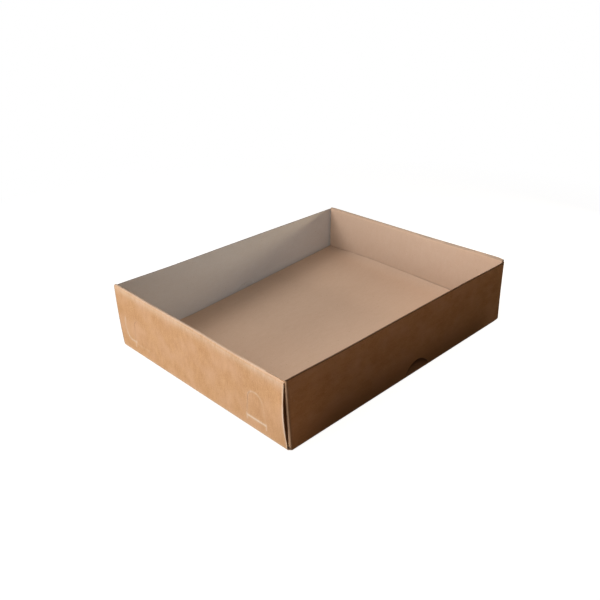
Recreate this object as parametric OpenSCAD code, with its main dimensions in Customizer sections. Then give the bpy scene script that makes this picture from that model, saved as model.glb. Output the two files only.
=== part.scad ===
// Brown board tray: one die-cut blank folded into an open box.
// The long walls are single. Each end is a rolled double wall that traps the corner flaps,
// and press-in tongues in its outer panel lock through windows in those flaps.
// +X runs along the length, +Y across the width, +Z up. The origin is the middle of the underside.

/* [Tray] */
// Length over the end panels, at the floor
tray_l = 250; // [180:1:400]
// Width over the long walls
tray_w = 200; // [170:1:320]
// Height to the top of the rolled ends
tray_h = 55; // [42:1:90]
// Outward lean of the ends, in degrees
end_lean = 1.6; // [0.2:0.1:3]
// How far the long walls stay below the rims of the ends
wall_drop = 1.8; // [1.4:0.1:6]

/* [Board] */
// Thickness of the board
board_t = 0.8; // [0.5:0.1:1.2]
// Inside radius of a fold
fold_r = 0.8; // [0.5:0.1:1.2]
// Clearance between layers that lie against each other
layer_gap = 0.2; // [0.1:0.05:0.4]
// Width of a die-cut line
kerf = 0.5; // [0.3:0.1:0.8]

/* [Rolled ends] */
// Distance from the corner of the tray to the side edge of an outer end panel
panel_inset = 2.6; // [2.5:0.1:5]
// Distance from the inner face of a long wall to the side edge of an inner end panel
lining_inset = 1.4; // [1.3:0.1:4]
// Corner radius of the end panels at the roll
rim_corner_r = 1.8; // [1:0.1:6]
// Width of a lining tab that drops into the floor
tab_w = 36; // [15:1:45]
// Distance between the two lining tabs of an end
tab_pitch = 90; // [60:1:110]
// Clearance around a lining tab in its floor slot
tab_clear = 0.3; // [0.2:0.05:0.6]

/* [Corner flaps] */
// Length of a corner flap, from the corner of the tray
flap_l = 52; // [45:1:65]
// How far a flap's top edge stays below the long wall's
flap_drop = 1; // [0.4:0.1:6]
// Corner radius of a flap's free end
flap_corner_r = 8; // [2:0.5:14]

/* [Lock tongues] */
// Distance from the corner of the tray to the middle of a tongue
lock_inset = 31; // [26:0.5:34]
// Width of a tongue at its hinge
lock_base_w = 20; // [14:0.5:24]
// Radius of a tongue's round tip
lock_tip_r = 6.5; // [4:0.5:7]
// Height of a tongue, from its hinge to its tip
lock_h = 20.5; // [14:0.5:24]
// Height of a tongue's hinge above the underside
lock_z = 9.5; // [6:0.5:14]
// How far a tongue's tip is pressed in
lock_push = 1; // [0.4:0.1:1]
// Length of the nicks that run down from the ends of a hinge
nick_l = 3; // [1:0.5:4]

/* [Thumb tabs] */
// Width of the half-moon thumb tab at the foot of each long wall
thumb_w = 28; // [16:0.5:40]
// Height of a thumb tab above its hinge
thumb_h = 8.5; // [5:0.5:12]
// Distance of a thumb tab from the middle of its wall
thumb_shift = 9; // [-40:1:40]
// Height of a thumb tab's hinge above the bottom fold
thumb_lift = 0.8; // [0.3:0.1:6]
// How far the top of a thumb tab is pressed in
thumb_push = 1.2; // [0.4:0.1:3]

/* [Hidden] */
$fn = 64;
board_color = "#c69c6d";

// Outside radius of a fold, and the height of its centre above the underside
fold_ro = fold_r + board_t;
fold_z = fold_ro;
// Edges of the flat floor, where the folds begin
floor_x = tray_l / 2 - fold_ro;
floor_y = tray_w / 2 - fold_ro;

// An end's own frame has its origin on the bottom fold's axis, n along the outward normal and u up the panel.
// Layers of the end, outermost first, as distances of their outer faces along n
outer_n = fold_ro;
flap_n = outer_n - board_t - layer_gap;
lining_n = flap_n - board_t - layer_gap;
// The roll turns half a circle round the flap's top edge
roll_ri = (board_t + 2 * layer_gap) / 2;
roll_ro = roll_ri + board_t;
roll_n = lining_n + roll_ri;
// Length of the end panel from its bottom fold to its roll
panel_u = (tray_h - fold_z - roll_ro + roll_n * sin(end_lean)) / cos(end_lean);

// Half widths of the outer panel, the lining and the roll
outer_half = tray_w / 2 - panel_inset;
lining_half = tray_w / 2 - board_t - lining_inset;
roll_half = min(outer_half, lining_half) - rim_corner_r;

// Axis of a corner fold in the end's frame, and the flap's height range along u
corner_n = flap_n - fold_ro;
corner_y = tray_w / 2 - fold_ro;
wall_top = tray_h - wall_drop;
flap_low_u = layer_gap;
flap_high_u = (wall_top - flap_drop - fold_z) / cos(end_lean);
// Half length of a long wall between its upright side edges, and how far a corner fold reaches back over it
wall_half = floor_x + corner_n - board_t;
wall_lap = flap_high_u * sin(end_lean) + 2 * board_t;

// Foot of the lining above the floor, and of its tabs just above the underside
lining_foot_u = board_t + layer_gap - fold_z;
tab_foot_u = layer_gap - fold_z;
lock_u = lock_z - fold_z;
thumb_z = fold_z + thumb_lift;
// Radius of a thumb tab's arc, through its top and the two ends of its hinge
thumb_r = (thumb_w * thumb_w / 4 + thumb_h * thumb_h) / (2 * thumb_h);

// How far past a face a cutting shape runs
cut_over = 1;

// Distance along X of a point in the end's frame at +X
function end_x(n, u) = floor_x + n * cos(end_lean) + u * sin(end_lean);

// Quarter or half ring of board from angle a0 to a1 about a fold's axis
module fold_section(ri, a0, a1) {
    reach = 4 * (ri + board_t);
    middle = (a0 + a1) / 2;
    intersection() {
        difference() {
            circle(ri + board_t);
            circle(ri);
        }
        polygon([
            [0, 0],
            reach * [cos(a0), sin(a0)],
            reach * [cos(middle), sin(middle)],
            reach * [cos(a1), sin(a1)]
        ]);
    }
}

// Carries children from an end's frame (x as n, y as width, z as u) to the +X end of the tray
module in_end_frame() {
    translate([floor_x, 0, fold_z]) rotate([0, end_lean, 0]) children();
}

// Flat board whose outline is drawn as [y, u] and whose outer face lies at n in an end's frame
module end_board(n, thick = board_t) {
    translate([n - thick, 0, 0]) rotate([90, 0, 90]) linear_extrude(thick) children();
}

// Section drawn as [n, u] in an end's frame, run along the width
module end_run(half) {
    translate([0, half, 0]) rotate([90, 0, 0]) linear_extrude(2 * half) children();
}

// Rectangle with two round corners at the top
module round_top(half, low, high, r) {
    translate([-half, low]) square([2 * half, high - r - low]);
    translate([-half + r, low]) square([2 * (half - r), high - low]);
    for (side = [-1, 1]) translate([side * (half - r), high - r]) circle(r);
}

// Keeps what lies above a hinge line
module above_hinge(half, high) {
    intersection() {
        children();
        translate([-half, 0]) square([2 * half, high]);
    }
}

// Tongue on its hinge line: straight flanks up to a half-round tip, grown all round by grow
module tongue_shape(grow = 0) {
    base = lock_base_w / 2 + grow;
    tip = lock_tip_r + grow;
    tip_y = lock_h - lock_tip_r;
    polygon([[-base, 0], [base, 0], [tip, tip_y], [-tip, tip_y]]);
    translate([0, tip_y]) above_hinge(base, base) circle(tip);
}

// Opening in the panel: the tongue's die-cut line and the nicks at its hinge
module tongue_opening() {
    tongue_shape(kerf);
    for (side = [-1, 1])
        translate([side * (lock_base_w + kerf) / 2 - kerf / 2, -nick_l]) square([kerf, nick_l + kerf]);
}

module thumb_shape(grow = 0) {
    above_hinge(thumb_w, 2 * thumb_h) translate([0, thumb_h - thumb_r]) circle(thumb_r + grow);
}

// Places children at both locks of an end, drawn as [y, u]
module at_locks() {
    for (side = [-1, 1]) translate([side * (tray_w / 2 - lock_inset), lock_u]) children();
}

// Places children at both lining tabs of an end, drawn as [y, u]
module at_tabs() {
    for (side = [-1, 1]) translate([side * tab_pitch / 2, 0]) children();
}

// Bottom fold and outer panel of an end, with its openings
module outer_panel() {
    end_run(outer_half) fold_section(fold_r, -90 + end_lean, 0);
    end_board(outer_n) difference() {
        round_top(outer_half, 0, panel_u, rim_corner_r);
        at_locks() tongue_opening();
    }
}

// Tongues, hinged at the foot and pressed in at the tip
module lock_tongues() {
    intersection() {
        end_run(outer_half) translate([0, lock_u]) polygon([
            [outer_n - board_t, 0],
            [outer_n, 0],
            [outer_n - lock_push, lock_h],
            [outer_n - board_t - lock_push, lock_h]
        ]);
        end_board(outer_n + cut_over, 2 * board_t + lock_push + 2 * cut_over) at_locks() tongue_shape();
    }
}

// The roll over the flaps, and the lining that hangs from it with tabs at its foot
module lining() {
    translate([roll_n, 0, panel_u]) end_run(roll_half) fold_section(roll_ri, 0, 180);
    end_board(lining_n) {
        round_top(lining_half, lining_foot_u, panel_u, rim_corner_r);
        at_tabs() translate([-tab_w / 2, tab_foot_u]) square([tab_w, lining_foot_u - tab_foot_u]);
    }
}

// Corner fold and flap at the +Y side of an end
module corner_flap() {
    translate([corner_n, corner_y, flap_low_u]) linear_extrude(flap_high_u - flap_low_u) {
        fold_section(fold_r, 0, 90);
        translate([-wall_lap, fold_r]) square([wall_lap, board_t]);
    }
    end_board(flap_n) difference() {
        intersection() {
            translate([tray_w / 2 - flap_l, flap_low_u]) square([flap_l - fold_ro, flap_high_u - flap_low_u]);
            flap_end_round();
        }
        at_locks() tongue_shape(2 * kerf);
    }
}

// Rounds the free end of a flap: a long bar with round ends, as tall as the flap
module flap_end_round() {
    low = flap_low_u + flap_corner_r;
    high = flap_high_u - flap_corner_r;
    free_y = tray_w / 2 - flap_l + flap_corner_r;
    for (u = [low, high]) translate([free_y, u]) circle(flap_corner_r);
    translate([free_y - flap_corner_r, low]) square([flap_l, high - low]);
    translate([free_y, flap_low_u]) square([flap_l, flap_high_u - flap_low_u]);
}

// A whole end at +X
module end_wall() {
    in_end_frame() {
        outer_panel();
        lock_tongues();
        lining();
        corner_flap();
        mirror([0, 1, 0]) corner_flap();
    }
}

// A long wall at +Y with its bottom fold and thumb tab
module long_wall() {
    translate([-wall_half, floor_y, fold_z]) rotate([90, 0, 90])
        linear_extrude(2 * wall_half) fold_section(fold_r, -90, 0);
    translate([0, tray_w / 2, 0]) rotate([90, 0, 0]) linear_extrude(board_t) difference() {
        translate([-wall_half, fold_z]) square([2 * wall_half, wall_top - fold_z]);
        translate([thumb_shift, thumb_z]) thumb_shape(kerf);
    }
    translate([0, tray_w / 2, 0]) intersection() {
        translate([thumb_shift - thumb_w, 0, thumb_z]) rotate([90, 0, 90]) linear_extrude(2 * thumb_w)
            polygon([[-board_t, 0], [0, 0], [-thumb_push, thumb_h], [-board_t - thumb_push, thumb_h]]);
        translate([thumb_shift, cut_over, thumb_z]) rotate([90, 0, 0])
            linear_extrude(board_t + thumb_push + 2 * cut_over) thumb_shape();
    }
}

// Floor between the folds, with slots for the lining tabs
module floor_panel() {
    slot_in = end_x(lining_n - board_t, tab_foot_u) - tab_clear;
    slot_out = end_x(lining_n, lining_foot_u) + tab_clear;
    linear_extrude(board_t) difference() {
        square([2 * floor_x, 2 * floor_y], center = true);
        for (end = [-1, 1], side = [-1, 1])
            translate([end * (slot_in + slot_out) / 2, side * tab_pitch / 2])
                square([slot_out - slot_in, tab_w + 2 * tab_clear], center = true);
    }
}

module tray() {
    color(board_color) {
        floor_panel();
        for (turn = [0, 1]) {
            mirror([turn, 0, 0]) end_wall();
            mirror([0, turn, 0]) long_wall();
        }
    }
}

tray();
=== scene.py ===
import math

import bpy
import numpy as np
from mathutils import Matrix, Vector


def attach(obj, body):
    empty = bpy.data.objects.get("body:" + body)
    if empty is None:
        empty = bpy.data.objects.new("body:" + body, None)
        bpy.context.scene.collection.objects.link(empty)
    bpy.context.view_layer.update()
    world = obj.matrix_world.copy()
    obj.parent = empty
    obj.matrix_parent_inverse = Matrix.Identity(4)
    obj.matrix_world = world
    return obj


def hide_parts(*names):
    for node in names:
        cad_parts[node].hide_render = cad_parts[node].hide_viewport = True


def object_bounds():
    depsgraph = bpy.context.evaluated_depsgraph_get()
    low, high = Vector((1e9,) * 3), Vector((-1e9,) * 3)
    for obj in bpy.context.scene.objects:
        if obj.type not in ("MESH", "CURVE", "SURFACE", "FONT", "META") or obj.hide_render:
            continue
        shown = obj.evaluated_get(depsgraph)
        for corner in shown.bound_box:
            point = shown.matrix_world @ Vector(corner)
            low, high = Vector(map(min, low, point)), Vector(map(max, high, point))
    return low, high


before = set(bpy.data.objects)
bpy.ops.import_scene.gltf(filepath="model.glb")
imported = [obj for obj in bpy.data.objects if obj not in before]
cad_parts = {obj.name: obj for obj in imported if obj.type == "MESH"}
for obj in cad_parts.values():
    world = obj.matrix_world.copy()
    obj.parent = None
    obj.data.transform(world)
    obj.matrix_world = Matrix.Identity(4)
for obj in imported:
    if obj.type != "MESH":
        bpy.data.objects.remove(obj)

# Brown board tray: one blank, worked out flat, trimmed, cut, folded and given its thickness.
# Lengths are in millimetres until the folded sheet goes into its mesh. The near and far ends
# face -X and +X, the front and back walls face -Y and +Y.
MM = 0.001
cad_low, cad_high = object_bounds()

# Tray, from the frame
TOP_L = (cad_high.x - cad_low.x) / MM
TRAY_W = (cad_high.y - cad_low.y) / MM
TRAY_H = (cad_high.z - cad_low.z) / MM
LEAN = math.radians(1.6)
WALL_DROP = 1.8

# Board, folds and die-cut lines
BOARD_T = 0.8
FOLD_R = 0.25
LAYER_GAP = 0.2
KERF = 0.08

# Rolled ends
PANEL_INSET = 1.3
LINING_INSET = 1.4
RIM_CORNER_R = 1.0
ROLL_INSET = 0.1
ROLL_LAP = 1.0
RELIEF_R = 2.0
RELIEF_SHIFT = 1.4
TAB_W = 36.0
TAB_PITCH = 90.0
TAB_CLEAR = 0.3

# Corner flaps
FLAP_L = 52.0
FLAP_DROP = 1.0
FLAP_CORNER_R = 8.0
CORNER_FOLD_R = 0.1
WINDOW_GROW = 1.0

# Lock tongues
LOCK_INSET = 31.0
LOCK_BASE_W = 20.0
LOCK_TIP_R = 7.5
LOCK_H = 23.0
LOCK_Z = 9.5
LOCK_PUSH = 0.14
NICK_L = 3.0
NICK_LAP = 0.1

# Thumb tabs
THUMB_W = 28.0
THUMB_H = 8.5
THUMB_SHIFT = 9.0
THUMB_LIFT = 0.8
THUMB_PUSH_FRONT = 1.3
THUMB_PUSH_BACK = 0.12

# Folds follow the middle of the board
FOLD_M = FOLD_R + BOARD_T / 2
FOLD_RO = FOLD_R + BOARD_T
FLAP_N = FOLD_RO - BOARD_T - LAYER_GAP
LINING_N = FLAP_N - BOARD_T - LAYER_GAP
ROLL_M = BOARD_T / 2 + (BOARD_T + 2 * LAYER_GAP) / 2
ROLL_RO = ROLL_M + BOARD_T / 2
ROLL_N = LINING_N - BOARD_T / 2 + ROLL_M
PANEL_U = (TRAY_H - FOLD_RO - ROLL_RO + ROLL_N * math.sin(LEAN)) / math.cos(LEAN)
FLOOR_X = TOP_L / 2 - ROLL_RO - ROLL_N * math.cos(LEAN) - PANEL_U * math.sin(LEAN)
FLOOR_Y = TRAY_W / 2 - FOLD_RO
CORNER_M = CORNER_FOLD_R + BOARD_T / 2
CORNER_N = FLAP_N - BOARD_T / 2 - CORNER_M
CORNER_Y = FLOOR_Y + FOLD_M - CORNER_M
LOCK_U = LOCK_Z - FOLD_RO
LOCK_Y = TRAY_W / 2 - LOCK_INSET
LINING_FOOT_U = BOARD_T + LAYER_GAP - FOLD_RO
TAB_FOOT_U = LAYER_GAP - FOLD_RO
THUMB_R = (THUMB_W ** 2 / 4 + THUMB_H ** 2) / (2 * THUMB_H)

# Half widths of the end's layers
OUTER_HALF = TRAY_W / 2 - PANEL_INSET
LINING_HALF = TRAY_W / 2 - BOARD_T - LINING_INSET
ROLL_HALF = OUTER_HALF - ROLL_INSET

# Places along the blank's length where the floor, foot fold, outer panel, roll, lining and tabs end
END_FLOOR = FLOOR_X
END_FOOT = END_FLOOR + FOLD_M * (math.pi / 2 - LEAN)
END_PANEL = END_FOOT + PANEL_U
END_ROLL = END_PANEL + ROLL_M * math.pi
END_LINING = END_ROLL + PANEL_U - LINING_FOOT_U
END_TAB = END_ROLL + PANEL_U - TAB_FOOT_U

# Places along its width where the floor, foot fold and long wall end, and the flaps' lower and upper edges
WALL_FLOOR = FLOOR_Y
WALL_FOOT = WALL_FLOOR + FOLD_M * math.pi / 2
WALL_RIM = WALL_FOOT + TRAY_H - WALL_DROP - FOLD_RO
FLAP_LOW = LAYER_GAP
FLAP_HIGH = (TRAY_H - WALL_DROP - FLAP_DROP - FOLD_RO) / math.cos(LEAN)

# Past the end of the floor, the flaps start this much further out than the floor's own edge
STRIP_MARGIN = 0.8

# How far neighbouring panels run into each other before the blank is trimmed
PANEL_LAP = 5.0
WALL_LAP = 1.0

# Thumb tabs keep at least this far from a wall's ends
THUMB_CLEAR = 10.0

# Share of a grid edge within which a cut uses the grid's own corner, a length taken as nothing,
# one taken as far off, and the digits to which points are merged
SNAP = 0.06
NOTHING = 1e-6
FAR_OFF = 100.0
MERGE_DIGITS = 4

# Grid lines of the flat blank from its middle outwards: a place and the widest spacing up to it
LENGTHWISE = (
    (THUMB_SHIFT + THUMB_W * 0.6, 1.9),  # thumb tabs
    (END_FLOOR - 6.0, 5.5),  # open floor
    (END_FLOOR - 2.4, 0.6),  # end of the floor
    (END_FOOT + 2.2, 0.27),  # foot fold
    (END_FOOT + LOCK_U - NICK_L - 0.5, 1.3),  # foot of the outer panel
    (END_FOOT + LOCK_U + LOCK_H + 4.5, 1.2),  # tongues
    (END_PANEL - RIM_CORNER_R - 0.5, 2.6),  # upper panel
    (END_PANEL, 0.8),  # corners of the rim
    (END_ROLL, 0.3),  # roll
    (END_ROLL + RIM_CORNER_R + 0.5, 0.8),  # corners of the lining
    (END_LINING - 1.0, 4.2),  # lining
    (END_TAB + 0.35, 0.45),  # lining tabs
)
WIDTHWISE = (
    (LOCK_Y - LOCK_BASE_W / 2 - 2.5, 4.2),  # middle
    (LOCK_Y - LOCK_BASE_W / 2 + 0.3, 0.33),  # inner flank of a tongue
    (LOCK_Y + LOCK_BASE_W / 2 - 0.3, 1.4),  # tongue
    (LOCK_Y + LOCK_BASE_W / 2 + 1.5, 0.33),  # outer flank
    (OUTER_HALF - 4.0, 1.5),  # beside the lock
    (OUTER_HALF - 0.5, 0.9),  # side of the panel
    (WALL_FOOT + 0.3, 0.26),  # foot fold
    (WALL_FOOT + THUMB_LIFT + THUMB_H + 1.5, 0.85),  # thumb tabs
    (WALL_RIM - 1.2, 3.8),  # wall
    (WALL_RIM + 0.45, 0.55),  # rim
)


def corner_start(height):
    """Place along the length where a long wall starts to turn into its flap; it leans with the end."""
    return FLOOR_X + CORNER_N * math.cos(LEAN) + height * math.sin(LEAN)


def grid_lines(stops):
    """Even grid lines from stop to stop on both sides of zero, none further apart than its stop allows."""
    start = 0.0
    runs = [np.array([start])]
    for place, spacing in stops:
        count = math.ceil((place - start) / spacing)
        runs.append(np.linspace(start, place, count + 1)[1:])
        start = place
    half = np.concatenate(runs)
    return np.concatenate([-half[:0:-1], half])


def flat_grid():
    """The blank's rectangle as triangles: each cell between crossing grid lines is halved."""
    u, v = np.meshgrid(grid_lines(LENGTHWISE), grid_lines(WIDTHWISE), indexing="ij")
    points = np.stack([u.ravel(), v.ravel()], axis=1)
    index = np.arange(u.size).reshape(u.shape)
    a, b, c, d = index[:-1, :-1], index[1:, :-1], index[1:, 1:], index[:-1, 1:]
    first = np.stack([a, b, c], axis=-1).reshape(-1, 3)
    second = np.stack([a, c, d], axis=-1).reshape(-1, 3)
    return points, np.concatenate([first, second])


def round_corner(side, top, radius):
    """Distance inside two edges that meet in a round corner, from the distances inside each edge."""
    in_corner = (side < radius) & (top < radius)
    return np.where(in_corner, radius - np.hypot(radius - side, radius - top), np.minimum(side, top))


def tongue_level(y, height, grow=0.0):
    """Distance inside a lock tongue: straight flanks that narrow to a half-round tip, above its hinge."""
    across = np.abs(np.abs(y) - LOCK_Y)
    above = height - LOCK_U
    tip_h = LOCK_H - LOCK_TIP_R
    base = LOCK_BASE_W / 2
    slope = (base - LOCK_TIP_R) / tip_h
    flank = (base - slope * above - across) / math.hypot(1.0, slope)
    tip = LOCK_TIP_R - np.hypot(across, above - tip_h)
    edge = np.where(above < tip_h, flank, tip) + grow
    return np.minimum(edge, above)


def nick_level(y, height):
    """Distance inside the short nicks that run down from both ends of a tongue's hinge."""
    across = np.abs(np.abs(np.abs(y) - LOCK_Y) - (LOCK_BASE_W + KERF) / 2)
    down = LOCK_U - height
    return np.minimum(KERF / 2 - across, np.minimum(NICK_L - down, down + NICK_LAP))


def thumb_level(x, height, grow=0.0):
    """Distance inside a thumb tab: the part of a disc above its hinge."""
    above = height - THUMB_LIFT
    arc = THUMB_R + grow - np.hypot(x - THUMB_SHIFT, above - THUMB_H + THUMB_R)
    return np.minimum(arc, above)


def turned_up(points):
    """True on the long walls and their flaps, false on the floor and the end strips."""
    along, across = np.abs(points).T
    return across > WALL_FLOOR + np.where(along > END_FLOOR, STRIP_MARGIN, NOTHING)


def flap_place(points):
    """Height of a blank point on a long wall and its distance from the middle once the flap is turned in."""
    height = np.abs(points[:, 1]) - WALL_FOOT
    past_fold = np.abs(points[:, 0]) - corner_start(height) - CORNER_M * math.pi / 2
    return height, CORNER_Y - past_fold


def panel_place(points):
    """Height of a blank point up its outer end panel; far off elsewhere."""
    along = np.abs(points[:, 0])
    on_panel = (along > END_FLOOR) & (along < END_PANEL) & ~turned_up(points)
    return np.where(on_panel, along - END_FOOT, -FAR_OFF)


def wall_height(points):
    """Height of a blank point up its long wall; far off elsewhere."""
    along, across = np.abs(points).T
    on_wall = (across > WALL_FLOOR) & (along < END_FLOOR - THUMB_CLEAR)
    return np.where(on_wall, across - WALL_FOOT, -FAR_OFF)


def end_level(along, across):
    """Distance inside an end strip: the foot fold, panel, roll, lining and tabs joined."""
    past_floor = along - END_FLOOR + PANEL_LAP
    outer_side = OUTER_HALF - across
    foot = np.minimum(np.minimum(past_floor, END_FOOT + PANEL_LAP - along), outer_side)
    panel = np.minimum(past_floor, round_corner(outer_side, END_PANEL - along, RIM_CORNER_R))
    roll_length = np.minimum(along - END_PANEL + PANEL_LAP, END_ROLL + ROLL_LAP - along)
    roll = np.minimum(ROLL_HALF - across, roll_length)
    lining_top = round_corner(LINING_HALF - across, along - END_ROLL, RIM_CORNER_R)
    lining = np.minimum(lining_top, END_LINING - along)
    tab_length = np.minimum(END_TAB - along, along - END_LINING + PANEL_LAP)
    tab = np.minimum(TAB_W / 2 - np.abs(across - TAB_PITCH / 2), tab_length)
    return np.max([foot, np.minimum(panel, outer_side), roll, lining, tab], axis=0)


def wall_level(points):
    """Distance inside a long wall with its two flaps, which have round corners and a window at the tongue."""
    along, across = np.abs(points).T
    height, flap_y = flap_place(points)
    past_corner = along - corner_start(height)
    wall = np.minimum(np.minimum(across - WALL_FLOOR + PANEL_LAP, WALL_RIM - across), WALL_LAP - past_corner)
    free_end = flap_y - (TRAY_W / 2 - FLAP_L)
    upper = round_corner(free_end, FLAP_HIGH - height, FLAP_CORNER_R)
    lower = round_corner(free_end, height - FLAP_LOW, FLAP_CORNER_R)
    flap = np.minimum(np.minimum(upper, lower), past_corner + PANEL_LAP)
    flap = np.minimum(flap, -tongue_level(flap_y, height, WINDOW_GROW))
    return np.maximum(wall, flap)


def opening_level(along, across):
    """Distance inside the floor's slots for the lining tabs and the round reliefs at its corners."""
    slot_in = FLOOR_X + (LINING_N - BOARD_T) * math.cos(LEAN) + TAB_FOOT_U * math.sin(LEAN) - TAB_CLEAR
    slot_out = FLOOR_X + LINING_N * math.cos(LEAN) + LINING_FOOT_U * math.sin(LEAN) + TAB_CLEAR
    slot_side = TAB_W / 2 + TAB_CLEAR - np.abs(across - TAB_PITCH / 2)
    slot = np.minimum(np.minimum(along - slot_in, slot_out - along), slot_side)
    relief = RELIEF_R - np.hypot(along - END_FLOOR - RELIEF_SHIFT, across - WALL_FLOOR - RELIEF_SHIFT)
    return np.maximum(slot, relief)


def outline_level(points):
    """Distance inside the blank: the floor, end strips and walls joined, less the openings."""
    along, across = np.abs(points).T
    floor = np.minimum(END_FLOOR - along, WALL_FLOOR - across)
    whole = np.max([floor, end_level(along, across), wall_level(points)], axis=0)
    return np.minimum(whole, -opening_level(along, across))


def whole_faces(faces):
    """Leaves out the triangles that have collapsed to a line."""
    return faces[(faces != np.roll(faces, 1, axis=1)).all(axis=1)]


def trim(sheet, level):
    """Keeps a flat sheet where level is positive; an edge is cut where its straight-line level is zero."""
    points, faces = sheet
    inside = level[faces] > 0
    count = inside.sum(axis=1)

    def lone_first(chosen, flag):
        """The chosen triangles, turned so that their one flagged corner comes first."""
        order = (np.argmax(flag, axis=1)[:, None] + np.arange(3)) % 3
        return np.take_along_axis(faces[chosen], order, axis=1)

    one = lone_first(count == 1, inside[count == 1])
    two = lone_first(count == 2, ~inside[count == 2])
    crossed = np.concatenate([one[:, [0, 1]], one[:, [0, 2]], two[:, [0, 1]], two[:, [0, 2]]])
    edges, which = np.unique(np.sort(crossed, axis=1), axis=0, return_inverse=True)
    start, end = edges.T
    share = level[start] / (level[start] - level[end])
    cut = points[start] + share[:, None] * (points[end] - points[start])
    new = len(points) + np.arange(len(edges))
    index = np.where(share < SNAP, start, np.where(share > 1 - SNAP, end, new))
    splits = np.cumsum([len(one), len(one), len(two)])
    one_b, one_c, two_b, two_c = np.split(index[which.ravel()], splits)
    kept = whole_faces(np.concatenate([
        faces[count == 3],
        np.stack([one[:, 0], one_b, one_c], axis=1),
        np.stack([two_b, two[:, 1], two[:, 2]], axis=1),
        np.stack([two_b, two[:, 2], two_c], axis=1),
    ]))
    used, kept = np.unique(kept, return_inverse=True)
    return np.concatenate([points, cut])[used], kept.reshape(-1, 3)


def cut_blank():
    """Trims the grid to the blank, frees the tongues and thumb tabs on three sides and welds their hinges.

    Also gives how far each point is pressed in: nothing at a hinge, evenly more towards the tip.
    """
    sheet = flat_grid()
    sheet = trim(sheet, outline_level(sheet[0]))
    tongues = trim(sheet, tongue_level(sheet[0][:, 1], panel_place(sheet[0])))
    thumbs = trim(sheet, thumb_level(sheet[0][:, 0], wall_height(sheet[0])))
    sheet = trim(sheet, -tongue_level(sheet[0][:, 1], panel_place(sheet[0]), KERF))
    sheet = trim(sheet, -nick_level(sheet[0][:, 1], panel_place(sheet[0])))
    sheet = trim(sheet, -thumb_level(sheet[0][:, 0], wall_height(sheet[0]), KERF))
    tongue_push = LOCK_PUSH * (panel_place(tongues[0]) - LOCK_U) / LOCK_H
    thumb_push = np.where(thumbs[0][:, 1] < 0, THUMB_PUSH_FRONT, THUMB_PUSH_BACK)
    thumb_push = thumb_push * (wall_height(thumbs[0]) - THUMB_LIFT) / THUMB_H
    parts = [sheet, tongues, thumbs]
    push = np.concatenate([np.zeros(len(sheet[0])), np.maximum(tongue_push, 0), np.maximum(thumb_push, 0)])
    shift = np.cumsum([0] + [len(p) for p, f in parts])
    points = np.concatenate([p for p, f in parts])
    faces = np.concatenate([f + s for (p, f), s in zip(parts, shift)])
    rows = np.round(np.column_stack([points, push]), MERGE_DIGITS)
    rows, merged = np.unique(rows, axis=0, return_inverse=True)
    return rows[:, :2], whole_faces(merged.ravel()[faces]), rows[:, 2]


def fold_end(along, across):
    """Middle surface and normal of an end strip: an arc at the foot, a half circle at the roll, else flat."""
    cos_l, sin_l = math.cos(LEAN), math.sin(LEAN)
    zero, one = np.zeros(len(along)), np.ones(len(along))
    foot = LEAN - math.pi / 2 + (along - END_FLOOR) / FOLD_M
    roll = (along - END_PANEL) / ROLL_M
    where = [along < END_FOOT, along < END_PANEL, along < END_ROLL]
    outs = [FOLD_M * np.cos(foot), FOLD_M * one, ROLL_N + ROLL_M * np.cos(roll)]
    ups = [FOLD_M * np.sin(foot), along - END_FOOT, PANEL_U + ROLL_M * np.sin(roll)]
    n = np.select(where, outs, ROLL_N - ROLL_M)
    up = np.select(where, ups, PANEL_U - (along - END_ROLL))
    normal_n = np.select(where, [np.cos(foot), one, np.cos(roll)], -1.0)
    normal_u = np.select(where, [np.sin(foot), zero, np.sin(roll)], 0.0)
    place = np.stack([FLOOR_X + n * cos_l + up * sin_l, across, FOLD_RO - n * sin_l + up * cos_l], axis=1)
    normal_x = normal_n * cos_l + normal_u * sin_l
    normal_z = normal_u * cos_l - normal_n * sin_l
    return place, np.stack([normal_x, zero, normal_z], axis=1)


def fold_wall(along, across):
    """Middle surface and normal of a long wall: a quarter circle at the foot, then straight up."""
    bend = np.clip((across - WALL_FLOOR) / FOLD_M, 0, math.pi / 2)
    height = np.maximum(across - WALL_FOOT, 0)
    up = FOLD_RO - FOLD_M * np.cos(bend) + height
    place = np.stack([along, FLOOR_Y + FOLD_M * np.sin(bend), up], axis=1)
    return place, np.stack([np.zeros(len(along)), np.sin(bend), -np.cos(bend)], axis=1)


def fold_flap(past, height):
    """Middle surface and normal of a corner flap: a quarter circle round the corner, then flat."""
    cos_l, sin_l = math.cos(LEAN), math.sin(LEAN)
    turn = np.clip(past / CORNER_M, 0, math.pi / 2)
    straight = np.maximum(past - CORNER_M * math.pi / 2, 0)
    n = CORNER_N + CORNER_M * np.sin(turn)
    place = np.stack([
        FLOOR_X + n * cos_l + height * sin_l,
        CORNER_Y + CORNER_M * np.cos(turn) - straight,
        FOLD_RO - n * sin_l + height * cos_l,
    ], axis=1)
    return place, np.stack([np.sin(turn) * cos_l, np.cos(turn), -np.sin(turn) * sin_l], axis=1)


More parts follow.
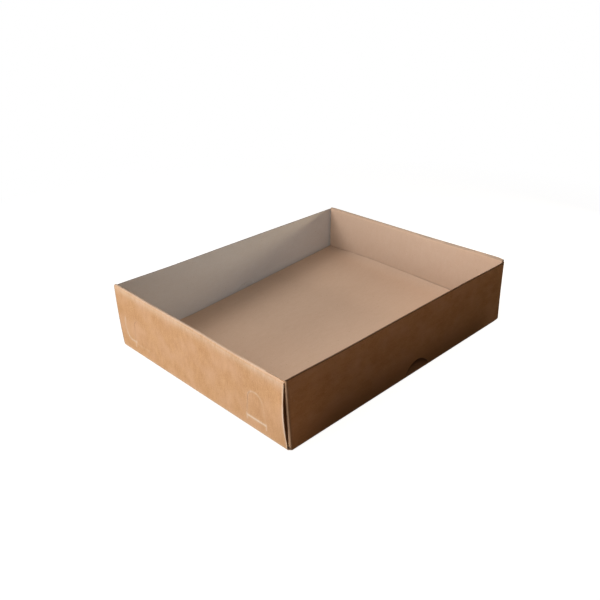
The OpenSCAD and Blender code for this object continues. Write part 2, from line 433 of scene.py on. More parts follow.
def fold_blank(points):
    """Middle surface and outward normal of the folded tray, worked out in one quarter and mirrored."""
    u, v = points.T
    along, across = np.abs(points).T
    zero, one = np.zeros(len(u)), np.ones(len(u))
    height = np.maximum(across - WALL_FOOT, 0)
    past = np.maximum(along - corner_start(height), 0)
    on_wall = turned_up(points)
    pick = [p[:, None] for p in (on_wall & (past > 0), on_wall, along > END_FLOOR)]
    folded = [fold_flap(past, height), fold_wall(along, across), fold_end(along, across)]
    floor = np.stack([along, across, one * BOARD_T / 2], axis=1)
    floor_normal = np.stack([zero, zero, -one], axis=1)
    side = np.stack([np.where(u < 0, -1.0, 1.0), np.where(v < 0, -1.0, 1.0), one], axis=1)
    place = np.select(pick, [place for place, normal in folded], floor)
    normal = np.select(pick, [normal for place, normal in folded], floor_normal)
    return place * side, normal * side


def bell(distance, width):
    """Smooth bump of height one that fades out over a width."""
    return np.exp(-(distance / width) ** 2)


def ramp(value, low, high):
    """Smooth step from zero at low to one at high."""
    t = np.clip((value - low) / (high - low), 0, 1)
    return t * t * (3 - 2 * t)


# How far the free side edges of the outer end panels spring out at half height, and how far
# the ends of the rolls droop, by end and side
SPRING = {(-1, -1): 1.9, (-1, 1): 0.5, (1, -1): 1.1, (1, 1): 1.3}
SPRING_REACH = 13.0
SPRING_SHAPE = 1.2
DROOP = {(-1, -1): 0.3, (-1, 1): 0.0, (1, -1): 0.6, (1, 1): 0.4}
DROOP_REACH = 3.0

# The linings bow inwards, most a little below half height; the hump across is wider than the tray
LINING_BOW = 2.0
LINING_BOW_SHAPE = 1.2
LINING_BOW_SPREAD = 1.1

# The near rim stands higher towards the back and sags towards the front; the far rim rises towards the front
NEAR_RIM_RISE = 0.8
NEAR_RIM_RISE_SPAN = (45.0, 80.0)
NEAR_RIM_SAG = 1.4
NEAR_RIM_SAG_SPAN = (0.0, 55.0)
FAR_RIM_RISE = 0.8
FAR_RIM_START = 10.0

# The front wall bows in and the back wall out. Both rims rise at the near end, and the front rim
# stands higher all along, apart from its far end.
WALL_BOW_FRONT = -0.4
WALL_BOW_BACK = 0.7
WALL_RIM_RISE = 1.0
WALL_RIM_REACH = 38.0
FRONT_RIM_RISE = 0.65
FRONT_RIM_FADE = (5.0, 60.0)

# The front wall's foot flares out and takes the edge of the floor with it
FOOT_FLARE = 1.0
FLARE_REACH = 12.0
FLARE_END = 0.8

# Three of the walls' lower corners lift a little
CORNER_LIFT = 0.4
CORNER_LIFT_REACH = 4.0
LIFT_WALL_REACH = 7.0
LIFT_FLOOR_REACH = 3.0
LIFT_FLOOR_END = (-0.4, 1.2)

# The floor rises evenly from a place before its middle to the far end, more beside the back wall,
# and dips sharply to the walls' folds
FLOOR_RISE = 10.8
FLOOR_TILT = 0.27
RISE_START = -76.0
WALL_DIP = (0.1, 1.3)

# At the far end the floor stops at the bowed lining: the lining's inset at its sides, its extra inset
# in the middle, and the narrow strip in which the floor drops
LINING_EDGE = 1.44
LINING_EDGE_BOW = 1.44
END_DIP = (0.1, 0.7)

# The floor sweeps up in a soft cove before the far lining, less towards the back wall
COVE_H = 4.0
COVE_L = 12.0
COVE_FADE = 60.0

# The crease near a side of the near end panel: its middle, half width and half height, squareness,
# where its upper and lower arms end, depth and width
CREASE_Y = 81.3
CREASE_U = 21.0
CREASE_HALF_W = 8.6
CREASE_HALF_H = 11.4
CREASE_POWER = 2.6
CREASE_UPPER_END = 0.75
CREASE_LOWER_END = -0.55
CREASE_DEPTH = 0.22
CREASE_WIDTH = 1.1


def bow_across(v):
    """Cosine hump across the tray: one in the middle, a little above zero at the sides."""
    return np.cos(math.pi * v / TRAY_W / LINING_BOW_SPREAD)


def lining_distance(points):
    """Distance of a floor point from the far lining, which bows inwards in its middle."""
    u, v = points.T
    return END_FLOOR - u - LINING_EDGE - LINING_EDGE_BOW * bow_across(v)


def floor_rise(points):
    """Height of the floor above flat: an even climb and a square-law cove, with steep dips at the folds."""
    u, v = points.T
    on_floor = (np.abs(u) < END_FLOOR) & ~turned_up(points)
    climb = np.clip((u - RISE_START) / (END_FLOOR - RISE_START), 0, 1)
    tilt = 1 + FLOOR_TILT * v / WALL_FLOOR
    to_lining = lining_distance(points)
    cove = COVE_H * np.clip(1 - to_lining / COVE_L, 0, 1) ** 2 * ramp(WALL_FLOOR - v, 0.0, COVE_FADE)
    height = FLOOR_RISE * climb * tilt + cove
    return on_floor * height * ramp(WALL_FLOOR - np.abs(v), *WALL_DIP) * ramp(to_lining, *END_DIP)


def crease_distance(points):
    """Distance from the C-shaped crease, a rounded oval left open to one side."""
    across = (points[:, 1] - CREASE_Y) / CREASE_HALF_W
    above = (panel_place(points) - CREASE_U) / CREASE_HALF_H
    ring = (np.abs(across) ** CREASE_POWER + np.abs(above) ** CREASE_POWER) ** (1 / CREASE_POWER)
    here = (points[:, 0] < 0) & (across > np.where(above > 0, CREASE_UPPER_END, CREASE_LOWER_END))
    return np.where(here, (ring - 1) * CREASE_HALF_W, FAR_OFF)


def end_give(points):
    """How the end strips give, along the normal and upwards.

    The panels' side edges spring out and the linings bow, both as sines of the height, the crease is
    pressed in, the rims rise or sag with the square of the height, and the rolls' ends droop with its cube.
    """
    u, v = points.T
    along, across = np.abs(points).T
    strip = (~turned_up(points)) & (along > END_FOOT)
    on_panel = strip & (along < END_PANEL)
    up = (along - END_FOOT) / PANEL_U
    hang = np.clip((along - END_ROLL) / PANEL_U, 0, 1)
    rise = np.sin(math.pi * np.clip(up, 0, 1)) ** SPRING_SHAPE
    climb = np.clip(np.where(along < END_PANEL + ROLL_M * math.pi / 2, up, 1 - hang), 0, 1)
    bow = LINING_BOW * np.sin(math.pi * hang ** LINING_BOW_SHAPE) * bow_across(v)
    out = (strip & (along > END_ROLL)) * bow
    out -= CREASE_DEPTH * bell(crease_distance(points), CREASE_WIDTH)
    near_rim = NEAR_RIM_RISE * ramp(v, *NEAR_RIM_RISE_SPAN) - NEAR_RIM_SAG * ramp(-v, *NEAR_RIM_SAG_SPAN)
    far_rim = FAR_RIM_RISE * ramp(-v, FAR_RIM_START, WALL_FLOOR)
    lift = strip * np.where(u < 0, near_rim, far_rim) * climb ** 2
    for end, side in SPRING:
        here = strip & (u * end > 0) & (v * side > 0)
        out += (here & on_panel) * SPRING[end, side] * rise * bell(OUTER_HALF - across, SPRING_REACH)
        lift -= here * DROOP[end, side] * climb ** 3 * bell(OUTER_HALF - across, DROOP_REACH)
    return out, lift


def wall_give(points):
    """How the long walls give, along the normal, sideways and upwards.

    Each wall bows as a squared cosine along its length, the front foot flares out, the rims rise with
    the square of the height, and the lower corners lift as bells.
    """
    u, v = points.T
    along, across = np.abs(points).T
    on_wall = turned_up(points)
    front = v < 0
    height = np.clip((across - WALL_FOOT) / (WALL_RIM - WALL_FOOT), 0, 1)
    middle = np.cos(math.pi * np.clip(u / (2 * FLOOR_X), -0.5, 0.5))
    bow = np.where(front, WALL_BOW_FRONT, WALL_BOW_BACK)
    out = on_wall * (along < corner_start(0)) * bow * height * middle ** 2

    floor_flare = ramp(across, WALL_FLOOR - FLARE_REACH, WALL_FLOOR) * ramp(END_FLOOR - along, 0.0, FLARE_END)
    flare = -FOOT_FLARE * front * np.where(on_wall, (1 - height) ** 2, floor_flare)

    wall_lift = bell(np.maximum(across - WALL_FOOT, 0), LIFT_WALL_REACH)
    floor_lift = bell(WALL_FLOOR - across, LIFT_FLOOR_REACH) * ramp(END_FLOOR - along, *LIFT_FLOOR_END)
    lifted = (~((u < 0) & front)) * np.where(on_wall, wall_lift, floor_lift)
    lift = CORNER_LIFT * lifted * bell(END_FLOOR - along, CORNER_LIFT_REACH)
    near_rise = (u < 0) * WALL_RIM_RISE * bell(END_FLOOR - along, WALL_RIM_REACH)
    front_rise = front * FRONT_RIM_RISE * ramp(END_FLOOR - u, *FRONT_RIM_FADE)
    lift += on_wall * (near_rise + front_rise) * height ** 2
    return out, flare, lift


# Where round the roll, in roll radii past the panel, the outside's colour turns into the inside's
PALE_SPAN = (0.2, 1.8)

# Rubbed strips, each with its strength and width. On the near end, the crest's strip and the band under it
# are rub and painted highlight, where light from above catches the roll. The side strip is a painted
# highlight on the panels' front edges.
CREST_RUB_AND_HIGHLIGHT = (0.4, 0.9)
UNDER_CREST_RUB_AND_HIGHLIGHT = (0.4, 4.0)
FRONT_RIM_RUB = (0.12, 1.2)
FOOT_RUB = (0.2, 1.4)
SIDE_EDGE_HIGHLIGHT = (0.9, 1.1)
TONGUE_RUB = (0.5, 0.6)
HINGE_RUB = (1.05, 0.8)
NICK_RUB = (0.6, 0.5)
CREASE_RUB = (0.65, 0.7)

# Where those strips lie: the crest's in roll radii past the panel, the next below the front rim,
# the last past the floor's end
CREST_PLACE = 1.1
FRONT_RIM_RUB_DROP = 2.4
FOOT_RUB_PLACE = 1.0

# A tongue's line starts above its hinge and is faint below its tip; a hinge's line fades past its ends,
# a nick's line is shifted by a share of its length, and one lock's lines are hardly rubbed
TONGUE_LINE_START = 3.0
TONGUE_FAINT = 0.35
TIP_START = 0.6
HINGE_FADE = 0.6
NICK_SHIFT = 0.3
FAINT_LOCK = 0.15

# Dark strips, strength and width: painted shade at the walls' rims and at the corner folds, and a darker
# strip at the panels' back edges
WALL_RIM_SHADE = (1.0, 0.7)
SIDE_GRIME = (0.6, 0.9)
CORNER_FOLD_SHADE = (0.65, 1.5)

# Painted shade on the far rim's back slope: its least and most, from back to front, and its place and fade in
# roll radii
FAR_RIM_SHADE_LEAST = 0.5
FAR_RIM_SHADE_MOST = 0.95
FAR_RIM_SHADE_SPAN = (-20.0, 70.0)
FAR_RIM_SHADE_PLACE = 1.9
FAR_RIM_SHADE_FADE = (0.9, 1.8)

# Painted shade at the walls' feet, darker towards the bottom: strength and width, and how it fades towards
# the far and near ends
FOOT_SHADE = (1.0, 15.0)
FOOT_SHADE_FAR_FADE = (5.0, 40.0)
FOOT_SHADE_NEAR_FADE = (-10.0, 40.0)

# Darkness of cut edges; painted shade on the walls' cut rims, in a narrow line below each of those rims and
# on the front thumb tab
CUT_DARK = 0.25
RIM_CUT_SHADE = 1.0
RIM_CUT_REACH = 0.3
RIM_LINE = 0.6
RIM_LINE_SHADE = 0.6
THUMB_SHADE = 0.6

# Painted shade: the linings are darker and browner than the floor, standing in for the dimmer light at the
# far end. They are less so at their feet, a painted lightening against the fold's shade. The floor darkens in
# the same way towards the far end and in its cove
LINING_START = 2.0
LINING_FADE = 0.35
LINING_FADE_SPAN = (0.64, 0.8)
FLOOR_SHADE = 0.2
FLOOR_SHADE_SPAN = (40.0, 122.0)
COVE_SHADE = 0.55


def mark(look, here, distance):
    """Strip with a strength and a width, for wear and for painted light and shade: a bell of the distance,
    where the board has it.
    """
    strength, width = look
    return np.where(here, strength * bell(distance, width), 0.0)


def lock_rub(points):
    """Rubbed lines of the locks and the crease: bells of the distance from tongue edges, hinges and nicks."""
    u, v = points.T
    across = np.abs(v)
    above = panel_place(points) - LOCK_U
    edge = tongue_level(v, np.maximum(panel_place(points), LOCK_U + TONGUE_LINE_START))
    strength = TONGUE_FAINT + (1 - TONGUE_FAINT) * ramp(above, TIP_START * LOCK_H, LOCK_H)
    tongue = mark(TONGUE_RUB, above > 0, edge) * strength
    past_hinge = np.abs(across - LOCK_Y) - LOCK_BASE_W / 2
    hinge = mark(HINGE_RUB, True, above) * bell(np.maximum(past_hinge, 0), HINGE_FADE)
    nick = mark(NICK_RUB, np.abs(above + NICK_SHIFT * NICK_L) < NICK_L, past_hinge)
    clear = np.where((u < 0) & (v > 0), FAINT_LOCK, 1.0)
    nick_clear = np.where(across < LOCK_Y, clear, 1.0)
    crease = mark(CREASE_RUB, True, crease_distance(points))
    return np.max([clear * tongue, clear * hinge, nick_clear * nick, crease], axis=0)


def wear_and_painted_light_marks(points):
    """Shares on the outward side of pale board, of rubbed board and painted highlight, of painted shade and
    darker strips, and of painted shade at the walls' feet, beside folds, edges and cuts.
    """
    u, v = points.T
    along, across = np.abs(points).T
    on_wall = turned_up(points)
    strip = ~on_wall
    on_panel = strip & (along > END_FOOT) & (along < END_PANEL)
    near, front = u < 0, v < 0
    past_panel = (along - END_PANEL) / ROLL_M
    pale = np.where(strip, ramp(past_panel, *PALE_SPAN), 0.0)
    rub_and_highlight = np.max([
        # rub and painted highlight on the near roll's crest and the band under it
        mark(CREST_RUB_AND_HIGHLIGHT, strip & near, along - END_PANEL - CREST_PLACE * ROLL_M),
        mark(UNDER_CREST_RUB_AND_HIGHLIGHT, on_panel & near, END_PANEL - along),
        mark(FRONT_RIM_RUB, on_wall & front, WALL_RIM - across - FRONT_RIM_RUB_DROP),
        mark(FOOT_RUB, strip, along - END_FLOOR - FOOT_RUB_PLACE),
        # painted highlight along the front edge of each end panel, where the edge turns
        mark(SIDE_EDGE_HIGHLIGHT, on_panel & front, OUTER_HALF - across),
        lock_rub(points),
    ], axis=0)
    # painted shade on the far rim, on the slope that faces away from the light
    far_rim_shade = FAR_RIM_SHADE_LEAST + (FAR_RIM_SHADE_MOST - FAR_RIM_SHADE_LEAST) * ramp(-v, *FAR_RIM_SHADE_SPAN)
    from_crest = np.abs(past_panel - FAR_RIM_SHADE_PLACE)
    height = across - WALL_FOOT
    grime_and_shade = np.max([
        np.where(strip & ~near, far_rim_shade * (1 - ramp(from_crest, *FAR_RIM_SHADE_FADE)), 0.0),
        # painted shade along the walls' rims
        mark(WALL_RIM_SHADE, on_wall, WALL_RIM - across),
        mark(SIDE_GRIME, on_panel & (v > 0), OUTER_HALF - across),
        # painted shade in the corner folds
        mark(CORNER_FOLD_SHADE, on_wall, along - corner_start(height) - CORNER_M),
    ], axis=0)
    # painted shade on the outside of the walls, darker towards their feet
    foot_shade = mark(FOOT_SHADE, on_wall, np.maximum(height, 0))
    foot_shade = foot_shade * ramp(END_FLOOR - u, *FOOT_SHADE_FAR_FADE) * ramp(END_FLOOR + u, *FOOT_SHADE_NEAR_FADE)
    return pale, rub_and_highlight, grime_and_shade, foot_shade


def lining_painted_shade(points):
    """Share of the painted shade on the linings: smooth steps down the lining and along the floor to its
    cove.
    """
    along = np.abs(points[:, 0])
    hang = np.clip((along - END_ROLL) / PANEL_U, 0, 1)
    lining = ramp(along, END_ROLL - ROLL_M, END_ROLL + LINING_START)
    lining = lining * (1 - LINING_FADE * ramp(hang, *LINING_FADE_SPAN))
    floor = FLOOR_SHADE * ramp(points[:, 0], *FLOOR_SHADE_SPAN)
    floor += COVE_SHADE * np.clip(1 - lining_distance(points) / COVE_L, 0, 1)
    return (lining + (along < END_FLOOR) * floor) * (np.abs(points[:, 1]) <= WALL_FOOT)


def cut_and_shade_darkness(points, faces, strip):
    """Darkness of each face: painted shade in lines below the walls' rims, on the front thumb tab and on the
    walls' cut rims, and the other cut edges' own darkness.
    """
    below_rim = WALL_RIM - np.abs(points[faces, 1]).mean(axis=1)
    centre = points[faces].mean(axis=1)
    # painted shade on the pressed-in front thumb tab
    on_thumb = (thumb_level(centre[:, 0], wall_height(centre)) > 0) & (centre[:, 1] < 0)
    outward = np.maximum(RIM_LINE_SHADE * (below_rim < RIM_LINE), THUMB_SHADE * on_thumb)
    on_rim = np.abs(points[strip[:, 0], 1]) > WALL_RIM - RIM_CUT_REACH
    return np.concatenate([outward, np.zeros(len(faces)), np.where(on_rim, RIM_CUT_SHADE, CUT_DARK)])


def close_sheet(points, faces):
    """Faces of a sheet with thickness: the outward and inward sides and a strip round every free edge."""
    count = len(points)
    edges = np.concatenate([faces[:, [0, 1]], faces[:, [1, 2]], faces[:, [2, 0]]])
    key = np.sort(edges, axis=1)
    first, seen = np.unique(key, axis=0, return_index=True, return_counts=True)[1:]
    free = edges[first[seen == 1]]
    strip = np.stack([free[:, 0], free[:, 1], free[:, 1] + count, free[:, 0] + count], axis=1)
    return faces[:, ::-1], faces + count, strip


# Folds sharper than this, in degrees, are shaded as edges
SHARP_FOLD = 48.0

# The inside's part of the flat pattern lies this many tray lengths from the outside's
INSIDE_SHIFT = 3.0


def add_attribute(mesh, name, values, domain="POINT"):
    """Stores one number for each point or face of a mesh."""
    layer = mesh.attributes.new(name, "FLOAT", domain)
    layer.data.foreach_set("value", values.astype(np.float32))


def make_tray():
    """Cuts, folds and relaxes the blank, thickens it half a board to each side and writes the mesh."""
    points, faces, push = cut_blank()
    middle, normal = fold_blank(points)
    end_out, end_lift = end_give(points)
    wall_out, wall_flare, wall_lift = wall_give(points)
    middle = middle + normal * (end_out + wall_out - floor_rise(points) - push)[:, None]
    middle[:, 1] += wall_flare
    middle[:, 2] += end_lift + wall_lift
    half = normal * BOARD_T / 2
    place = np.concatenate([middle + half, middle - half]) * MM
    outer, inner, strip = close_sheet(points, faces)
    loops = np.concatenate([outer.ravel(), inner.ravel(), strip.ravel()])
    sizes = np.concatenate([np.full(len(outer) + len(inner), 3), np.full(len(strip), 4)])
    starts = np.concatenate([[0], np.cumsum(sizes)[:-1]])

    mesh = bpy.data.meshes.new("tray_sheet")
    mesh.vertices.add(len(place))
    mesh.vertices.foreach_set("co", place.astype(np.float32).ravel())
    mesh.loops.add(len(loops))
    mesh.loops.foreach_set("vertex_index", loops.astype(np.int32))
    mesh.polygons.add(len(sizes))
    mesh.polygons.foreach_set("loop_start", starts.astype(np.int32))
    mesh.polygons.foreach_set("use_smooth", np.ones(len(sizes), bool))
    mesh.update(calc_edges=True)
    mesh.validate()
    mesh.set_sharp_from_angle(angle=math.radians(SHARP_FOLD))

    pale, rub_and_highlight, grime_and_shade, foot_shade = wear_and_painted_light_marks(points)
    none, full = np.zeros(len(points)), np.ones(len(points))
    # Beside wear, the rubbed strips carry painted highlights, and the dark strips, feet, inner long walls,
    # linings and cut edges carry painted shade
    add_attribute(mesh, "pale", np.concatenate([pale, full]))
    add_attribute(mesh, "rub_and_highlight", np.concatenate([rub_and_highlight, none]))
    add_attribute(mesh, "grime_and_shade", np.concatenate([grime_and_shade, none]))
    add_attribute(mesh, "foot_shade", np.concatenate([foot_shade, none]))
    add_attribute(mesh, "cool_wall_shade", np.concatenate([none, np.abs(points[:, 1]) > WALL_FOOT]))
    add_attribute(mesh, "lining", np.tile(lining_painted_shade(points), 2))
    add_attribute(mesh, "cut_edge_and_shade", cut_and_shade_darkness(points, faces, strip), "FACE")
    flat = np.concatenate([points, points + [INSIDE_SHIFT * TOP_L, 0.0]]) * MM
    uv = mesh.uv_layers.new(name="blank")
    uv.data.foreach_set("uv", flat[loops].astype(np.float32).ravel())

    tray = bpy.data.objects.new("folded_tray", mesh)
    bpy.context.scene.collection.objects.link(tray)
    return tray


class Nodes:
    """Shorthand for building a node tree: makes nodes, sets their sockets and links them."""

    def __init__(self, tree):
        self.tree = tree
        tree.nodes.clear()

    def add(self, kind, sockets=None, **settings):
        """Makes a node with its settings, and links or fills its sockets."""
        node = self.tree.nodes.new(kind)
        for name, value in settings.items():
            setattr(node, name, value)
        for name, value in (sockets or {}).items():
            if isinstance(value, bpy.types.NodeSocket):
                self.tree.links.new(value, node.inputs[name])
            else:
                node.inputs[name].default_value = value
        return node

    def math(self, operation, a, b=0.0):
        """One sum on two values."""
        return self.add("ShaderNodeMath", {0: a, 1: b}, operation=operation).outputs[0]

    def weigh(self, *shares):
        """Sum of values, each times its share."""
        total = 0.0
        for value, share in shares:
            total = self.math("ADD", self.math("MULTIPLY", value, share), total)
        return total

    def blend(self, share, a, b):
        """Mix of two colours: the first where the share is zero, the second where it is one."""
        sockets = {0: share, 6: a, 7: b}
        return self.add("ShaderNodeMix", sockets, data_type="RGBA", clamp_factor=True).outputs[2]

    def noise(self, where, scale, detail, rough):
        """Smooth noise; a scale of three numbers stretches it."""
        if isinstance(scale, tuple):
            where = self.add("ShaderNodeMapping", {"Vector": where, "Scale": scale}).outputs[0]
            scale = 1.0
        sockets = {"Vector": where, "Scale": scale, "Detail": detail, "Roughness": rough}
        return self.add("ShaderNodeTexNoise", sockets).outputs["Fac"]

    def span(self, value, low, high, out_low=0.0, out_high=1.0):
        """Straight step from one value at low to another at high, level outside."""
        sockets = {"Value": value, "From Min": low, "From Max": high, "To Min": out_low, "To Max": out_high}
        return self.add("ShaderNodeMapRange", sockets, clamp=True).outputs["Result"]

    def attribute(self, name):
        """A number stored on the mesh."""
        return self.add("ShaderNodeAttribute", attribute_name=name).outputs["Fac"]


# Board colours, linear
OUTSIDE = (0.68, 0.417, 0.233, 1.0)
OUTSIDE_DEEP = (0.49, 0.265, 0.125, 1.0)
OUTSIDE_PINK = (0.67, 0.42, 0.275, 1.0)
INSIDE = (0.65, 0.468, 0.342, 1.0)
INSIDE_DEEP = (0.598, 0.416, 0.296, 1.0)
# Painted shade: darker colour of the linings, standing in for the dimmer light at the far end
LINING_SHADE = (0.505, 0.375, 0.29, 1.0)
LINING_SHADE_DEEP = (0.462, 0.333, 0.249, 1.0)
# Painted cool shade: greyer colour of the long walls' inner faces, standing in for the cool light in their
# shade
WALL_COOL_SHADE = (0.575, 0.55, 0.53, 1.0)
WALL_COOL_SHADE_DEEP = (0.53, 0.49, 0.455, 1.0)
# Dark colour of cut edges, also used for painted shade on the walls' rims and the front thumb tab
CUT_EDGE_AND_SHADE = (0.11, 0.065, 0.04, 1.0)
# Pale colour of rubbed board, also used for painted highlights on the near rim and the panels' front edges
RUBBED_AND_HIGHLIT = (0.86, 0.76, 0.63, 1.0)
# Dark colour used for painted shade at the rims and corner folds, and for the darker strips at the panels'
# back edges
GRIME_AND_SHADE = (0.22, 0.195, 0.165, 1.0)
# Dark brown used for painted shade at the walls' feet
FOOT_SHADE_COLOUR = (0.30, 0.17, 0.09, 1.0)
SPECK_DARK = (0.26, 0.145, 0.075, 1.0)
SPECK_PALE = (0.80, 0.63, 0.46, 1.0)

# Noises of the board on the flat blank: scale for each metre, detail and roughness
FIBRE_NOISE = ((190.0, 620.0, 1.0), 4.0, 0.6)
MOTTLE_NOISE = ((110.0, 240.0, 1.0), 3.0, 0.55)
CLOUD_NOISE = (34.0, 4.0, 0.6)
FINE_NOISE = (900.0, 2.0, 0.6)
FLECK_NOISE = ((500.0, 900.0, 1.0), 1.0, 0.4)
PATCH_NOISE = (58.0, 2.0, 0.5)

# Each noise's share in the board's tone, and the spans that turn noises into shares of a colour
MOTTLE_SHARE = 0.25
CLOUD_SHARE = 0.2
FIBRE_SHARE = 0.2
FINE_SHARE = 0.35
TONE_SPAN = (0.35, 0.65)
PINK_SPAN = (0.42, 0.7, 0.0, 0.5)
SPECK_DARK_SPAN = (0.70, 0.80, 0.0, 0.3)
SPECK_PALE_SPAN = (0.30, 0.20, 0.0, 0.25)
RUB_AND_HIGHLIGHT_SPAN = (0.75, 1.25, 0.35, 0.9)
GRIME_AND_SHADE_SPAN = (0.35, 0.65, 0.45, 0.85)
FOOT_SHADE_SHARE = 0.85

# Relief of the surface: shares of fibre and fine noise, strength and height in metres;
# then the spread of the roughness
RELIEF_FIBRE = 0.6
RELIEF_FINE = 0.4
RELIEF_STRENGTH = 0.25
RELIEF_H = 0.00025
ROUGH_SPAN = (0.3, 0.7, 0.78, 0.92)


def board_material():
    """Unbleached board: short fibres, mottling and flecks, paler inside, rubbed at folds. It has painted
    highlights at the near rim and the panels' front edges, and painted shade at the rims, corner folds,
    walls' feet, linings, inner long walls and front thumb tab.
    """
    material = bpy.data.materials.new("brown_board")
    material.use_nodes = True
    n = Nodes(material.node_tree)
    flat = n.add("ShaderNodeUVMap", uv_map="blank").outputs["UV"]
    fibre = n.noise(flat, *FIBRE_NOISE)
    mottle = n.noise(flat, *MOTTLE_NOISE)
    cloud = n.noise(flat, *CLOUD_NOISE)
    fine = n.noise(flat, *FINE_NOISE)
    fleck = n.noise(flat, *FLECK_NOISE)
    patch = n.noise(flat, *PATCH_NOISE)

    tone = n.weigh((mottle, MOTTLE_SHARE), (cloud, CLOUD_SHARE), (fibre, FIBRE_SHARE), (fine, FINE_SHARE))
    tone = n.span(tone, *TONE_SPAN)
    outside = n.blend(tone, OUTSIDE_DEEP, OUTSIDE)
    outside = n.blend(n.span(patch, *PINK_SPAN), outside, OUTSIDE_PINK)
    inside = n.blend(tone, INSIDE_DEEP, INSIDE)
    # painted shade on the linings and on the floor before the far lining
    inside = n.blend(n.attribute("lining"), inside, n.blend(tone, LINING_SHADE_DEEP, LINING_SHADE))
    # painted cool shade on the long walls' inner faces
    inside = n.blend(n.attribute("cool_wall_shade"), inside, n.blend(tone, WALL_COOL_SHADE_DEEP, WALL_COOL_SHADE))
    colour = n.blend(n.attribute("pale"), outside, inside)
    colour = n.blend(n.span(fleck, *SPECK_DARK_SPAN), colour, SPECK_DARK)
    colour = n.blend(n.span(fleck, *SPECK_PALE_SPAN), colour, SPECK_PALE)
    rub_and_highlight = n.math("MULTIPLY", n.attribute("rub_and_highlight"), n.span(n.math("ADD", fibre, cloud), *RUB_AND_HIGHLIGHT_SPAN))
    # rubbed board, and painted highlights on the near rim and the panels' front edges
    colour = n.blend(rub_and_highlight, colour, RUBBED_AND_HIGHLIT)
    # painted shade at the walls' feet
    colour = n.blend(n.math("MULTIPLY", n.attribute("foot_shade"), FOOT_SHADE_SHARE), colour, FOOT_SHADE_COLOUR)
    # painted shade at the rims and corner folds, and darker strips at the panels' back edges
    grime_and_shade = n.math("MULTIPLY", n.attribute("grime_and_shade"), n.span(cloud, *GRIME_AND_SHADE_SPAN))
    colour = n.blend(grime_and_shade, colour, GRIME_AND_SHADE)
    # cut edges, with painted shade on the walls' rims and the front thumb tab
    colour = n.blend(n.attribute("cut_edge_and_shade"), colour, CUT_EDGE_AND_SHADE)

    relief = n.weigh((fibre, RELIEF_FIBRE), (fine, RELIEF_FINE))
    bump = n.add("ShaderNodeBump", {"Height": relief, "Strength": RELIEF_STRENGTH, "Distance": RELIEF_H})
    shader = n.add("ShaderNodeBsdfPrincipled", {
        "Base Color": colour,
        "Roughness": n.span(fibre, *ROUGH_SPAN),
        "Specular IOR Level": 0.0,
        "Normal": bump.outputs[0],
    })
    n.add("ShaderNodeOutputMaterial", {"Surface": shader.outputs[0]})
    return material


def seen_directly(n):
    """One for camera, glossy and transmission rays, which see the plain backdrop; zero for bounced light."""
    path = n.add("ShaderNodeLightPath").outputs
    gloss = n.math("MAXIMUM", path["Is Glossy Ray"], path["Is Transmission Ray"])
    return n.math("MAXIMUM", path["Is Camera Ray"], gloss)


# Studio, in metres: the white floor, its dim brown bounce, and where its shadow fades out.
# The floor doesn't glow under the tray, up to a margin inside its folds, so the slots stay dark.
STUDIO_SIZE = 24.0
STUDIO_BOUNCE = (0.02, 0.012, 0.007, 1.0)
STUDIO_SHADE = (0.30, 0.30, 0.30, 1.0)
STUDIO_GLOW = 0.9
STUDIO_FADE = (0.30, 0.55)
GLOW_MARGIN = 1.0 * MM
UNDER_TRAY_X = FLOOR_X * MM - GLOW_MARGIN
UNDER_TRAY_Y = FLOOR_Y * MM - GLOW_MARGIN
WHITE = (1.0, 1.0, 1.0, 1.0)
AMBIENT = (0.064, 0.041, 0.026, 1.0)


def make_floor():
    """Plain white floor at the tray's underside: a faint shadow near the tray, even white further out."""
    half = STUDIO_SIZE / 2
    corners = [(-half, -half, 0), (half, -half, 0), (half, half, 0), (-half, half, 0)]
    mesh = bpy.data.meshes.new("studio_floor")
    mesh.from_pydata(corners, [], [(0, 1, 2, 3)])
    floor = bpy.data.objects.new("studio_floor", mesh)
    bpy.context.scene.collection.objects.link(floor)
    material = bpy.data.materials.new("studio_floor")
    material.use_nodes = True
    n = Nodes(material.node_tree)
    bounce = n.add("ShaderNodeBsdfDiffuse", {"Color": STUDIO_BOUNCE}).outputs[0]
    shade = n.add("ShaderNodeBsdfDiffuse", {"Color": STUDIO_SHADE}).outputs[0]
    where = n.add("ShaderNodeTexCoord").outputs["Object"]
    split = n.add("ShaderNodeSeparateXYZ", {0: where}).outputs
    past_end = n.math("GREATER_THAN", n.math("ABSOLUTE", split["X"]), UNDER_TRAY_X)
    past_wall = n.math("GREATER_THAN", n.math("ABSOLUTE", split["Y"]), UNDER_TRAY_Y)
    strength = n.math("MULTIPLY", n.math("MAXIMUM", past_end, past_wall), STUDIO_GLOW)
    glow = n.add("ShaderNodeEmission", {"Strength": strength}).outputs[0]
    near = n.add("ShaderNodeAddShader", {0: shade, 1: glow}).outputs[0]
    white = n.add("ShaderNodeEmission", {"Color": WHITE, "Strength": 1.0}).outputs[0]
    reach = n.add("ShaderNodeVectorMath", {0: where}, operation="LENGTH").outputs["Value"]
    plain = n.add("ShaderNodeMixShader", {0: n.span(reach, *STUDIO_FADE), 1: near, 2: white}).outputs[0]
    surface = n.add("ShaderNodeMixShader", {0: seen_directly(n), 1: bounce, 2: plain}).outputs[0]
    n.add("ShaderNodeOutputMaterial", {"Surface": surface})
    mesh.materials.append(material)
    return floor


def make_world():
    """White backdrop for what is seen directly, and a dim even light for the rest."""
    world = bpy.data.worlds.new("studio")
    bpy.context.scene.world = world
    world.use_nodes = True
    n = Nodes(world.node_tree)
    colour = n.blend(seen_directly(n), AMBIENT, WHITE)
    back = n.add("ShaderNodeBackground", {"Color": colour, "Strength": 1.0}).outputs[0]
    n.add("ShaderNodeOutputWorld", {"Surface": back})


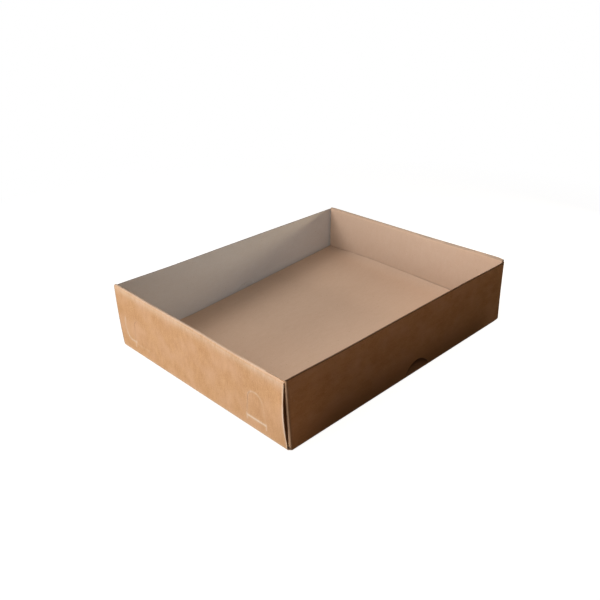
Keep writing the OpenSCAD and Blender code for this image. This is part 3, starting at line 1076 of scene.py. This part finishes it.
def direction(azimuth, elevation):
    """Unit vector from the tray: azimuth is zero in front and turns towards +X, elevation is upwards."""
    a, e = math.radians(azimuth), math.radians(elevation)
    return np.array([math.sin(a) * math.cos(e), -math.cos(a) * math.cos(e), math.sin(e)])


def facing(place, back, roll=0.0):
    """Matrix of a lamp or camera at a place, its back along a direction, rolled about that line."""
    right = np.cross([0.0, 0.0, 1.0], back)
    right = right / np.linalg.norm(right)
    up = np.cross(back, right)
    r = math.radians(roll)
    right, up = math.cos(r) * right + math.sin(r) * up, math.cos(r) * up - math.sin(r) * right
    matrix = np.eye(4)
    matrix[:3] = np.stack([right, up, back, place], axis=1)
    return Matrix(matrix.tolist())


def softbox(name, place, target, size, power, colour):
    """Soft rectangular lamp at a place, facing a target; the camera doesn't see it."""
    lamp = bpy.data.lights.new(name, "AREA")
    lamp.shape = "RECTANGLE"
    lamp.size, lamp.size_y = size
    lamp.energy = power
    lamp.color = colour
    holder = bpy.data.objects.new(name, lamp)
    back = np.subtract(place, target)
    holder.matrix_world = facing(place, back / np.linalg.norm(back))
    holder.visible_camera = False
    bpy.context.scene.collection.objects.link(holder)


# Lamps: name, place and target in metres, width and height in metres, power in watts, colour.
# Two soft main lamps, then small ones close to the tray that even out its sides.
TRAY_MIDDLE = (0.0, 0.0, TRAY_H * MM / 2)
CORNER_WARM = (1.0, 0.66, 0.42)
LAMPS = (
    ("window_light", direction(-95.0, 9.5), TRAY_MIDDLE, (0.45, 0.24), 6.8, (1.0, 0.97, 0.93)),
    ("high_light", 1.2 * direction(-134.0, 43.0), TRAY_MIDDLE, (0.6, 0.6), 6.35, (1.0, 0.97, 0.94)),
    ("lining_fill", (0.06, 0.0, 0.05), (0.125, 0.0, 0.015), (0.16, 0.03), 0.004, (1.0, 0.93, 0.86)),
    ("inside_fill", (-0.02, -0.08, 0.13), (-0.03, 0.07, 0.0), (0.18, 0.08), 0.072, (0.62, 0.84, 1.0)),
    ("foot_fill", (-0.02, 0.03, 0.045), (-0.02, 0.1, 0.004), (0.2, 0.02), 0.0045, (0.75, 0.9, 1.0)),
    ("floor_fill", (0.08, -0.07, 0.18), (0.07, -0.06, 0.0), (0.08, 0.08), 0.035, (1.0, 0.96, 0.9)),
    ("wall_wash", (0.0, -0.122, 0.14), (0.0, -0.1, 0.03), (0.30, 0.02), 0.072, (1.0, 0.68, 0.47)),
    ("corner_light", (-0.14, -0.15, 0.17), (-0.11, -0.1, 0.04), (0.06, 0.06), 0.012, CORNER_WARM),
    ("low_corner_light", (-0.12, -0.14, 0.02), (-0.121, -0.1, 0.015), (0.03, 0.03), 0.0013, CORNER_WARM),
    ("side_light", (0.4, -0.115, 0.12), (0.13, -0.1, 0.03), (0.06, 0.06), 0.75, (1.0, 0.85, 0.6)),
)

# Camera at the photograph's angle, on a square frame: metres, degrees, and the lens in millimetres
CAMERA_PLACE = (-0.3659, -0.3669, 0.2921)
CAMERA_AZIMUTH = -43.61
CAMERA_ELEVATION = 26.86
CAMERA_ROLL = -1.47
CAMERA_LENS = 41.87
CAMERA_NEAREST = 0.01


def make_camera():
    """Camera at the photograph's viewing angle."""
    data = bpy.data.cameras.new("camera")
    data.lens = CAMERA_LENS
    data.clip_start = CAMERA_NEAREST
    camera = bpy.data.objects.new("camera", data)
    camera.matrix_world = facing(CAMERA_PLACE, direction(CAMERA_AZIMUTH, CAMERA_ELEVATION), CAMERA_ROLL)
    bpy.context.scene.collection.objects.link(camera)
    bpy.context.scene.camera = camera


tray = make_tray()
tray.data.materials.append(board_material())
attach(tray, "root")
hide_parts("tray")
make_floor()
make_world()
for lamp in LAMPS:
    softbox(*lamp)
make_camera()
bpy.context.scene.view_settings.view_transform = "Standard"

bpy.context.view_layer.update()
